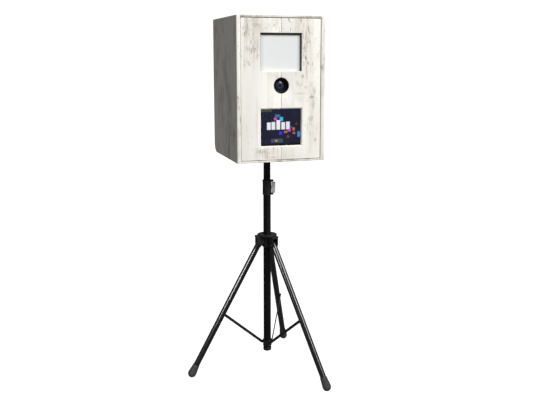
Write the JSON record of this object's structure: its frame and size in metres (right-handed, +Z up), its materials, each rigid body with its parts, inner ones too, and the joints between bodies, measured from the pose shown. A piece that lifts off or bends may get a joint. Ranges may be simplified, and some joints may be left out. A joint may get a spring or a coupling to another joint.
{
  "type": "photo booth",
  "caption": "Plank cabinet with a soft light window, camera lens and touch screen in its front and a door in its back, on a telescopic pole with a folding tripod.",
  "frame": {"origin": "on the floor, under the middle of the outline", "axes": "+Z up, -Y out of the cabinet's front, +X to the right when facing the front"},
  "size_m": [0.639, 0.7314, 1.788],
  "materials": {
    "painted_wood": "whitewashed timber, matt, with worn grain",
    "bare_wood": "planed softwood",
    "black_steel": "gloss black powder coat",
    "black_plastic": "fine moulded texture",
    "red_plastic": "gloss",
    "zinc_steel": "bright zinc plating",
    "white_metal": "matt white paint",
    "led_board": "white circuit board with yellow emitters",
    "opal_plastic": "satin opal sheet",
    "grey_metal": "satin sheet metal",
    "ring_rubber": "ribbed",
    "lens_coating": "coated front element, dark",
    "screen": "gloss cover glass over a display",
    "lead_rubber": "smooth cable jacket",
    "grey_plastic": "light grey moulding",
    "foot_rubber": "moulded, dull"
  },
  "bodies": {
    "base": {"lower_tube": "black_steel", "end_cap": "black_plastic", "clamp_collar": "black_plastic", "brace_collar": "black_steel", "collar_rivets": "zinc_steel"},
    "clamp_knob": {"clamp_knob": "grey_plastic"},
    "hub": {"hub": "black_plastic", "hub_bolts": "zinc_steel"},
    "hub_knob": {"hub_knob": "black_plastic"},
    "leg_left": {"leg_left": "black_steel", "foot_left": "foot_rubber"},
    "brace_left": {"brace_left": "black_steel"},
    "leg_rear": {"leg_rear": "black_steel", "foot_rear": "foot_rubber"},
    "brace_rear": {"brace_rear": "black_steel"},
    "leg_front": {"leg_front": "black_steel", "foot_front": "foot_rubber"},
    "brace_front": {"brace_front": "black_steel"},
    "mast": {"upper_tube": "black_steel", "pole_plugs": "black_plastic"},
    "door": {"rear_door": "painted_wood", "hinge_door_leaves": "zinc_steel", "lock_body": "zinc_steel", "door_vent": "black_steel", "fan_frame": "black_plastic"},
    "lock_cam": {"lock_cam": "zinc_steel"},
    "fan_rotor": {"fan_rotor": "black_plastic"},
    "power_rocker": {"power_rocker": "red_plastic"},
    "camera_screw": {"camera_screw": "zinc_steel"},
    "focus_ring": {"focus_ring": "ring_rubber"},
    "shutter_button": {"shutter_button": "zinc_steel"},
    "computer_button": {"computer_button": "zinc_steel"},
    "cabinet": {"side_panel_left": "painted_wood", "side_panel_right": "painted_wood", "top_panel": "painted_wood", "bottom_panel": "painted_wood", "front_board_left": "painted_wood", "front_board_right": "painted_wood", "cleats": "bare_wood", "service_plate": "black_steel", "mains_inlet": "black_plastic", "switch_frame": "black_plastic", "hinge_frame_leaves": "zinc_steel", "hinge_pins": "zinc_steel", "light_tray": "white_metal", "led_panel": "led_board", "diffuser": "opal_plastic", "diffuser_frame": "black_plastic", "camera_bracket": "grey_metal", "camera_body": "black_plastic", "lens_barrel": "black_plastic", "lens_glass": "lens_coating", "lens_shroud": "black_plastic", "screen_chassis": "black_plastic", "screen_glass": "screen", "mini_computer": "black_plastic", "power_supply": "grey_metal", "wiring": "lead_rubber", "pole_socket": "black_steel", "socket_bolts": "zinc_steel"}
  },
  "joints": [
    {"name": "mast_slide", "type": "slide", "parent": "base", "child": "mast", "axis": [0, 0, 1], "range_m": [-0.115, 0.42]},
    {"name": "cabinet_turn", "type": "hinge", "parent": "mast", "child": "cabinet", "pos_m": [0.0995, 0, 1.176], "axis": [0, 0, 1], "continuous": true},
    {"name": "clamp_turn", "type": "hinge", "parent": "base", "child": "clamp_knob", "pos_m": [0.11829, -0.00684, 0.954], "axis": [0.9397, -0.342, 0], "range_deg": [0, 720]},
    {"name": "hub_slide", "type": "slide", "parent": "base", "child": "hub", "axis": [0, 0, 1], "range_m": [0, 0.1449]},
    {"name": "hub_knob_turn", "type": "hinge", "parent": "hub", "child": "hub_knob", "pos_m": [0.0845, 0.02598, 0.684], "axis": [-0.5, 0.866, 0], "range_deg": [0, 720]},
    {"name": "leg_left_fold", "type": "hinge", "parent": "hub", "child": "leg_left", "pos_m": [0.0535, 0, 0.662], "axis": [0, -1, 0], "range_deg": [0, 28.67]},
    {"name": "brace_left_fold", "type": "hinge", "parent": "base", "child": "brace_left", "pos_m": [0.0725, 0, 0.137], "axis": [0, 1, 0], "range_deg": [0, 45.87]},
    {"name": "leg_rear_fold", "type": "hinge", "parent": "hub", "child": "leg_rear", "pos_m": [0.1225, 0.03984, 0.662], "axis": [-0.866, 0.5, 0], "range_deg": [0, 28.67]},
    {"name": "brace_rear_fold", "type": "hinge", "parent": "base", "child": "brace_rear", "pos_m": [0.113, 0.02338, 0.137], "axis": [0.866, -0.5, 0], "range_deg": [0, 45.87]},
    {"name": "leg_front_fold", "type": "hinge", "parent": "hub", "child": "leg_front", "pos_m": [0.1225, -0.03984, 0.662], "axis": [0.866, 0.5, 0], "range_deg": [0, 28.67]},
    {"name": "brace_front_fold", "type": "hinge", "parent": "base", "child": "brace_front", "pos_m": [0.113, -0.02338, 0.137], "axis": [-0.866, -0.5, 0], "range_deg": [0, 45.87]},
    {"name": "door_swing", "type": "hinge", "parent": "cabinet", "child": "door", "pos_m": [0.2895, 0.236, 1.466], "axis": [0, 0, -1], "range_deg": [0, 110]},
    {"name": "lock_turn", "type": "hinge", "parent": "door", "child": "lock_cam", "pos_m": [-0.0625, 0.22, 1.466], "axis": [0, 1, 0], "range_deg": [0, 90]},
    {"name": "fan_spin", "type": "hinge", "parent": "door", "child": "fan_rotor", "pos_m": [0.0995, 0.208, 1.706], "axis": [0, 1, 0], "continuous": true},
    {"name": "rocker_tip", "type": "hinge", "parent": "cabinet", "child": "power_rocker", "pos_m": [0.1095, 0.21359, 1.14241], "axis": [0, -0.7071, -0.7071], "range_deg": [0, 12]},
    {"name": "camera_screw_turn", "type": "hinge", "parent": "cabinet", "child": "camera_screw", "pos_m": [0.0995, -0.12, 1.426], "axis": [0, 0, 1], "range_deg": [0, 720]},
    {"name": "focus_turn", "type": "hinge", "parent": "cabinet", "child": "focus_ring", "pos_m": [0.0995, -0.188, 1.471], "axis": [0, 1, 0], "range_deg": [-60, 60]},
    {"name": "shutter_press", "type": "slide", "parent": "cabinet", "child": "shutter_button", "axis": [0, 0, -1], "range_m": [0, 0.0015], "stiffness_N_per_m": 600, "springref_m": -0.002},
    {"name": "computer_press", "type": "slide", "parent": "cabinet", "child": "computer_button", "axis": [0, 0, -1], "range_m": [0, 0.001], "stiffness_N_per_m": 600, "springref_m": -0.002}
  ],
  "couplings": [
    {"joint": "leg_left_fold", "follows": "hub_slide", "rad_per_m": 3.4476},
    {"joint": "brace_left_fold", "follows": "hub_slide", "rad_per_m": 5.5188},
    {"joint": "leg_rear_fold", "follows": "hub_slide", "rad_per_m": 3.4476},
    {"joint": "brace_rear_fold", "follows": "hub_slide", "rad_per_m": 5.5188},
    {"joint": "leg_front_fold", "follows": "hub_slide", "rad_per_m": 3.4476},
    {"joint": "brace_front_fold", "follows": "hub_slide", "rad_per_m": 5.5188}
  ]
}
